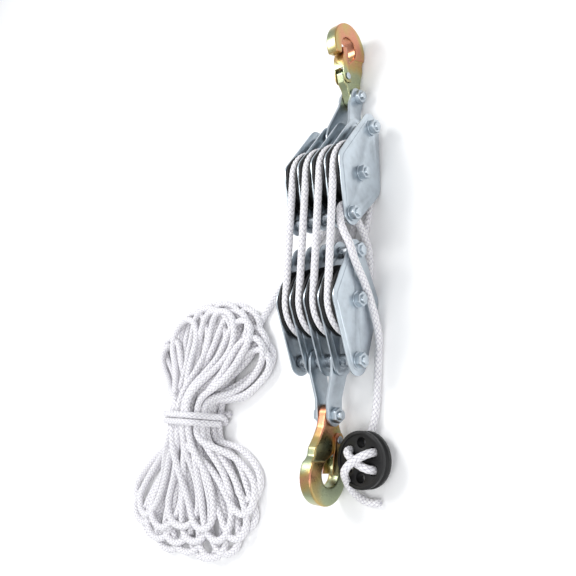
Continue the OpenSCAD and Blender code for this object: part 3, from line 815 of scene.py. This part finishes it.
class HOIST_OT_stopper(bpy.types.Operator):
    """Adds the stopper disc with the rope's dead end knotted through it"""

    bl_idname = "hoist.stopper"
    bl_label = "Stopper disc"

    def execute(self, context):
        disc = eased_copy(
            "stopper_disc_moulding", "moulded_black_nylon", "lower_block", DISC_EDGE,
            "stopper_disc", segments=3,
        )
        line = knot_line()
        rope = rope_piece("stopper_rope", line, sides=24, braided=True, taper=CUT_END)
        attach(rope, "lower_block")
        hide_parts("stopper_line")
        return {"FINISHED"}


class HOIST_OT_hank(bpy.types.Operator):
    """Lays the haul line and its hank, and ties the hank's waist"""

    bl_idname = "hoist.hank"
    bl_label = "Haul line and hank"

    def execute(self, context):
        line, pile = hank_line()
        rope = rope_piece("haul_rope", line, sides=12, taper=CUT_END)
        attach(rope, "upper_block")
        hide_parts("haul_line", "hank")
        around = spline(tie_line(pile), TIE_STEP)
        around[:, 2] = np.maximum(around[:, 2], ROPE_R)
        tie = rope_piece("hank_tie_rope", around, sides=16, braided=True, taper=CUT_END)
        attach(tie, "upper_block")
        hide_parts("hank_tie")
        return {"FINISHED"}


class HOIST_OT_plates(bpy.types.Operator):
    """Eases the edges of the side plates, the partitions and the straps, and plates them"""

    bl_idname = "hoist.plates"
    bl_label = "Plates and straps"

    def execute(self, context):
        edge = context.scene.hoist_metal.edge
        for block in ("upper", "lower"):
            body = f"{block}_block"
            for part in ("left_plate", "right_plate", "partition_1", "partition_2", "partition_3"):
                eased_copy(f"{block}_{part}_pressing", "bright_zinc_steel", body, edge, f"{block}_{part}")
            for part in ("left_strap", "right_strap"):
                name = f"{block}_{part}"
                eased_copy(f"{name}_pressing", "bright_zinc_steel", body, 2 * edge, name, segments=3)
        return {"FINISHED"}


class HOIST_OT_fasteners(bpy.types.Operator):
    """Adds the bolts, nuts, washers, spacer tubes and sleeves"""

    bl_idname = "hoist.fasteners"
    bl_label = "Bolts and spacers"

    def execute(self, context):
        for block in ("upper", "lower"):
            body = f"{block}_block"
            for part in ("axle_bolt", "head_bolt", "tail_bolt", "hook_pin"):
                eased_copy(f"{block}_{part}_turned", "bright_zinc_steel", body, BOLT_EDGE, f"{block}_{part}")
            eased_copy(f"{block}_hex_nuts", "bright_zinc_steel", body, NUT_EDGE, f"{block}_nuts")
            eased_copy(f"{block}_flat_washers", "bright_zinc_steel", body, TUBE_EDGE, f"{block}_washers")
            for part in ("head_spacers", "tail_spacers", "axle_sleeves"):
                eased_copy(f"{block}_{part}_tube", "galvanised_tube", body, TUBE_EDGE, f"{block}_{part}")
        return {"FINISHED"}


class HOIST_OT_sheaves(bpy.types.Operator):
    """Gives the eight sheaves their moulded nylon"""

    bl_idname = "hoist.sheaves"
    bl_label = "Sheaves"

    def execute(self, context):
        for block in ("upper", "lower"):
            for i in (1, 2, 3, 4):
                name = f"{block}_sheave_{i}"
                eased_copy(f"{name}_moulding", "moulded_black_nylon", name, MOULD_EDGE, name)
        return {"FINISHED"}


class HOIST_OT_hooks(bpy.types.Operator):
    """Forges the two hooks, and adds their latches, rivets and springs"""

    bl_idname = "hoist.hooks"
    bl_label = "Hooks and latches"

    def execute(self, context):
        for block in ("upper", "lower"):
            forged = merged_copy(f"{block}_hook_forging", f"{block}_hook")
            apply_modifier(forged, "REMESH", mode="VOXEL", voxel_size=0.0009)
            apply_modifier(forged, "SMOOTH", factor=0.5, iterations=14)
            only(forged)
            bpy.ops.object.shade_smooth()
            dress(forged, "yellow_zinc_steel")
            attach(forged, f"{block}_hook")
            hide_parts(f"{block}_hook")
            latch = f"{block}_latch"
            eased_copy(f"{latch}_pressing", "yellow_zinc_steel", latch, MOULD_EDGE, latch)
            eased_copy(
                f"{block}_latch_rivet_head", "bright_zinc_steel", f"{block}_hook", BOLT_EDGE,
                f"{block}_latch_rivet", segments=3,
            )
            latch_coil(block)
        return {"FINISHED"}


class HOIST_PT_panel(bpy.types.Panel):
    """Lists the hoist's pieces and settings"""

    bl_label = "Rope hoist"
    bl_space_type = "VIEW_3D"
    bl_region_type = "UI"
    bl_category = "Hoist"

    def draw(self, context):
        for group in (context.scene.hoist_rope, context.scene.hoist_metal, context.scene.hoist_stage):
            for name in group.bl_rna.properties.keys():
                if name not in ("rna_type", "name"):
                    self.layout.prop(group, name)
        for made in OPERATORS:
            self.layout.operator(made.bl_idname)


GROUPS = {"hoist_rope": HoistRope, "hoist_metal": HoistMetal, "hoist_stage": HoistStage}
OPERATORS = [
    HOIST_OT_stage, HOIST_OT_hank, HOIST_OT_reeving, HOIST_OT_stopper, HOIST_OT_plates, HOIST_OT_fasteners,
    HOIST_OT_sheaves, HOIST_OT_hooks,
]


def register():
    for name, group in GROUPS.items():
        bpy.utils.register_class(group)
        setattr(bpy.types.Scene, name, bpy.props.PointerProperty(type=group))
    for made in OPERATORS + [HOIST_PT_panel]:
        bpy.utils.register_class(made)


def unregister():
    for made in [HOIST_PT_panel] + OPERATORS[::-1]:
        bpy.utils.unregister_class(made)
    for name, group in GROUPS.items():
        delattr(bpy.types.Scene, name)
        bpy.utils.unregister_class(group)


def main():
    register()
    bpy.ops.hoist.stage()
    bpy.ops.hoist.hank()
    bpy.ops.hoist.reeving()
    bpy.ops.hoist.stopper()
    bpy.ops.hoist.plates()
    bpy.ops.hoist.fasteners()
    bpy.ops.hoist.sheaves()
    bpy.ops.hoist.hooks()


if __name__ == "__main__":
    main()
